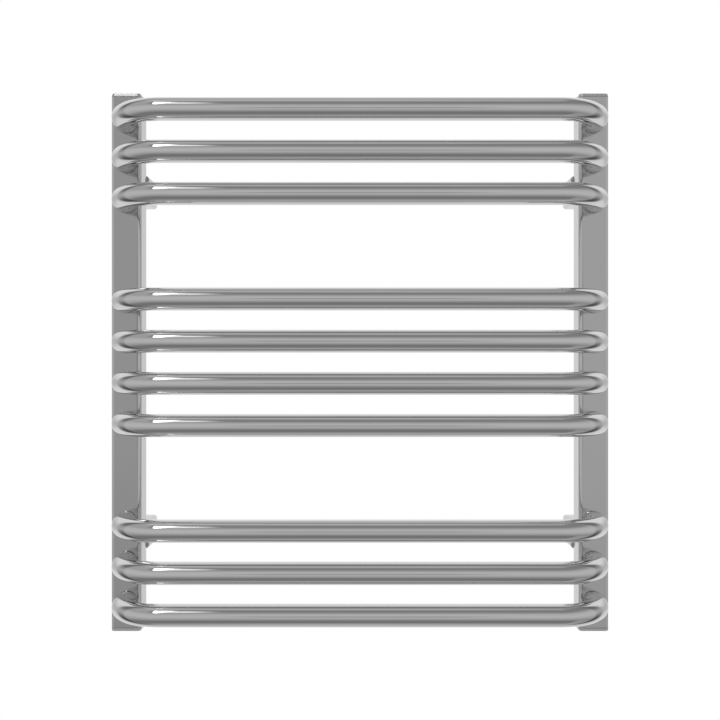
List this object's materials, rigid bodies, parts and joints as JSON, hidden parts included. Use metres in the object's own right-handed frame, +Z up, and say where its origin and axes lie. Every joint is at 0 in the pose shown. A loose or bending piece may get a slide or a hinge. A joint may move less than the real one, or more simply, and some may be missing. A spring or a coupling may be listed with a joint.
{
  "type": "towel warmer rack",
  "caption": "Wall-hung ladder towel warmer: square posts joined by round tubes bent back at both ends, on adjustable wall brackets, with an air vent behind one post.",
  "frame": {"origin": "on the wall plane, at the middle of the four wall anchors", "axes": "+Z up, +Y into the wall, -Y out of the wall towards the user, +X to the right for someone facing the rack"},
  "size_m": [0.504, 0.1365, 0.54],
  "materials": {
    "chrome": "polished",
    "steel": "zinc plated",
    "zinc": "as cast",
    "plastic": "satin",
    "rubber": "matte"
  },
  "bodies": {
    "wall_anchors": {"upper_left_bracket_anchor": "zinc", "upper_right_bracket_anchor": "zinc", "lower_left_bracket_anchor": "zinc", "lower_right_bracket_anchor": "zinc"},
    "rack": {"left_post": "chrome", "left_top_cap": "chrome", "left_bottom_cap": "chrome", "left_pipe_socket": "steel", "right_post": "chrome", "right_top_cap": "chrome", "right_bottom_cap": "chrome", "right_pipe_socket": "steel", "towel_bar_01": "chrome", "towel_bar_02": "chrome", "towel_bar_03": "chrome", "towel_bar_04": "chrome", "towel_bar_05": "chrome", "towel_bar_06": "chrome", "towel_bar_07": "chrome", "towel_bar_08": "chrome", "towel_bar_09": "chrome", "towel_bar_10": "chrome", "upper_left_bracket_sleeve": "chrome", "upper_left_bracket_screw": "steel", "upper_left_bracket_insert": "steel", "upper_left_bracket_grub_screw": "steel", "upper_right_bracket_sleeve": "chrome", "upper_right_bracket_screw": "steel", "upper_right_bracket_insert": "steel", "upper_right_bracket_grub_screw": "steel", "lower_left_bracket_sleeve": "chrome", "lower_left_bracket_screw": "steel", "lower_left_bracket_insert": "steel", "lower_left_bracket_grub_screw": "steel", "lower_right_bracket_sleeve": "chrome", "lower_right_bracket_screw": "steel", "lower_right_bracket_insert": "steel", "lower_right_bracket_grub_screw": "steel", "vent_body": "chrome", "vent_seal": "rubber", "plug_seal": "rubber", "blanking_plug": "chrome"},
    "bleed_screw": {"bleed_screw": "chrome"},
    "vent_nozzle": {"vent_nozzle": "plastic"}
  },
  "joints": [
    {"name": "wall_distance", "type": "slide", "parent": "wall_anchors", "child": "rack", "axis": [0, -1, 0], "range_m": [0, 0.012]},
    {"name": "bleed_screw_turn", "type": "hinge", "parent": "rack", "child": "bleed_screw", "pos_m": [-0.235, -0.0355, 0.2485], "axis": [0, 1, 0], "range_deg": [0, 360]},
    {"name": "vent_nozzle_swivel", "type": "hinge", "parent": "rack", "child": "vent_nozzle", "pos_m": [-0.235, -0.0335, 0.2485], "axis": [0, 1, 0], "continuous": true}
  ]
}
